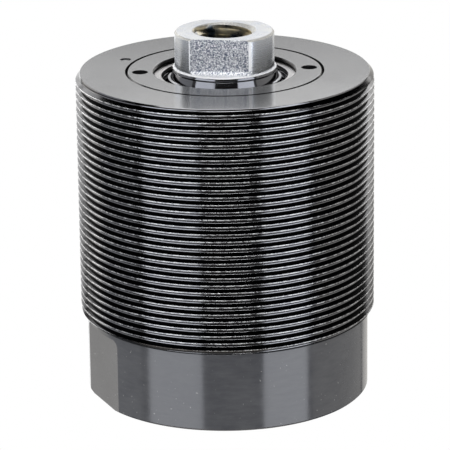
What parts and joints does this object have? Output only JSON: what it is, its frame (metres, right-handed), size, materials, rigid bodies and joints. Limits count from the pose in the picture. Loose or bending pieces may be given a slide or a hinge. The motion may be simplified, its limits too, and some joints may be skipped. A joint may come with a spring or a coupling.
{
  "type": "threaded-body hydraulic support cylinder",
  "caption": "Round hydraulic support cylinder with a threaded barrel, spanner flats on its base, a gland nut and a spring-returned plunger that a collet clamps.",
  "frame": {"origin": "centre of the base face, on the cylinder's axis", "axes": "+Z along the axis, the way the plunger extends; -Y is the side that the picture shows"},
  "size_m": [0.06, 0.06, 0.0747],
  "materials": {
    "black_oxide": "black oxide on turned steel, satin, glossy on the thread",
    "zinc_plate": "bright zinc, rough on the flats",
    "ground_steel": "ground and polished",
    "spring_steel": "drawn",
    "bronze": "turned",
    "sintered_bronze": "sintered, rough",
    "seal_rubber": "moulded nitrile"
  },
  "bodies": {
    "housing": {"threaded_body": "black_oxide", "gland_nut": "black_oxide", "gallery_plug": "black_oxide", "metal_wiper": "ground_steel", "wiper_spacer": "ground_steel", "wiper_snap_ring": "spring_steel", "gland_o_ring": "seal_rubber", "plunger_seal": "seal_rubber", "collet": "bronze", "disc_spring_lower": "spring_steel", "disc_spring_upper": "spring_steel", "lower_guide_bush": "bronze", "guide_stem": "zinc_plate", "return_spring": "spring_steel", "inlet_filter": "sintered_bronze", "breather_filter": "sintered_bronze", "base_o_ring": "seal_rubber"},
    "spring_seat": {"spring_seat_ring": "zinc_plate"},
    "plunger": {"plunger_tube": "ground_steel", "plunger_head": "zinc_plate", "plunger_stop_ring": "spring_steel", "seat_snap_ring": "spring_steel"},
    "clamp": {"clamp_piston": "ground_steel", "piston_outer_seal": "seal_rubber", "piston_inner_seal": "seal_rubber", "taper_sleeve": "ground_steel"}
  },
  "joints": [
    {"name": "plunger_slide", "type": "slide", "parent": "housing", "child": "spring_seat", "axis": [0, 0, 1], "range_m": [0, 0.01], "stiffness_N_per_m": 900, "springref_m": -0.006, "deforming": ["return_spring"]},
    {"name": "plunger_turn", "type": "hinge", "parent": "spring_seat", "child": "plunger", "pos_m": [0, 0, 0.04], "axis": [0, 0, 1], "continuous": true},
    {"name": "clamp_slide", "type": "slide", "parent": "housing", "child": "clamp", "axis": [0, 0, 1], "range_m": [0, 0.0008], "stiffness_N_per_m": 20000, "springref_m": -0.0004, "deforming": ["disc_spring_lower", "disc_spring_upper"]}
  ]
}
